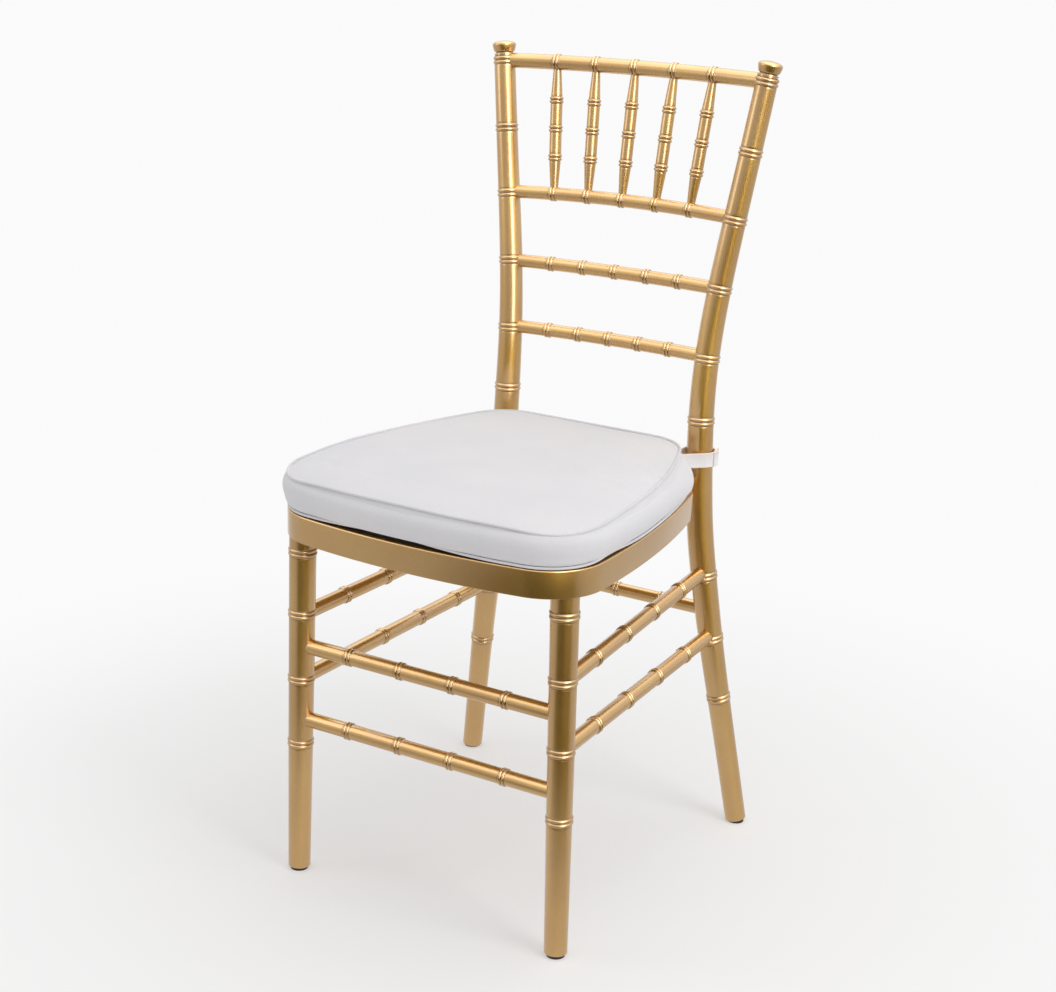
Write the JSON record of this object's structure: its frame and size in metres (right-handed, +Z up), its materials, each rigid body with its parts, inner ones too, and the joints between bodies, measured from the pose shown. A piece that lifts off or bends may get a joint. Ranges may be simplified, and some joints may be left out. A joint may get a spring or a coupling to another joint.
{
  "type": "chiavari chair",
  "caption": "Armless banquet chair with turned bamboo-ringed legs, ladder rungs and spindle back in gold paint, with a loose strapped seat cushion.",
  "frame": {"origin": "on the floor under the middle of the chair's outer box", "axes": "+Z up, the front of the seat faces -Y, +X to the right seen from the front of the camera looking along +Y"},
  "size_m": [0.41, 0.4704, 0.9137],
  "materials": {
    "gold_paint": "satin metallic gold paint on turned and bent hardwood",
    "bare_wood": "plain sanded wood",
    "cushion_fabric": "smooth off-white polyester cloth",
    "cushion_filling": "foam",
    "base_fabric": "black non-slip cloth over a thin board",
    "hook_tape": "off-white hook and loop tape",
    "glide_plastic": "dark moulded plastic",
    "screw_steel": "zinc plated"
  },
  "bodies": {
    "chair": {"corner_block_front_left": "bare_wood", "corner_block_front_right": "bare_wood", "corner_block_rear_left": "bare_wood", "corner_block_rear_right": "bare_wood", "corner_block_screws": "screw_steel", "foot_glide_front_left": "glide_plastic", "foot_glide_front_right": "glide_plastic", "foot_glide_rear_left": "glide_plastic", "foot_glide_rear_right": "glide_plastic", "front_leg_left": "gold_paint", "front_leg_right": "gold_paint", "front_stretcher_lower": "gold_paint", "front_stretcher_upper": "gold_paint", "lower_cross_rail": "gold_paint", "rear_post_left": "gold_paint", "rear_post_right": "gold_paint", "rear_stretcher": "gold_paint", "rim_dowels": "bare_wood", "seat_front_rail": "gold_paint", "seat_panel": "bare_wood", "seat_panel_screws": "screw_steel", "seat_post_screws": "screw_steel", "seat_rear_rail": "gold_paint", "seat_side_rail_left": "gold_paint", "seat_side_rail_right": "gold_paint", "side_stretcher_lower_left": "gold_paint", "side_stretcher_lower_right": "gold_paint", "side_stretcher_upper_left": "gold_paint", "side_stretcher_upper_right": "gold_paint", "spindle_1": "gold_paint", "spindle_2": "gold_paint", "spindle_3": "gold_paint", "spindle_4": "gold_paint", "spindle_5": "gold_paint", "spindle_rail": "gold_paint", "top_rail": "gold_paint", "upper_cross_rail": "gold_paint"},
    "cushion": {"cushion_base_board": "base_fabric", "cushion_cover": "cushion_fabric", "cushion_foam": "cushion_filling", "cushion_piping_bottom": "cushion_fabric", "cushion_piping_top": "cushion_fabric", "strap_left": "cushion_fabric", "strap_pad_left": "hook_tape", "strap_pad_right": "hook_tape", "strap_right": "cushion_fabric"}
  },
  "joints": [
    {"name": "cushion_lift", "type": "slide", "parent": "chair", "child": "cushion", "axis": [0, 0, 1], "range_m": [0, 0.03]}
  ]
}
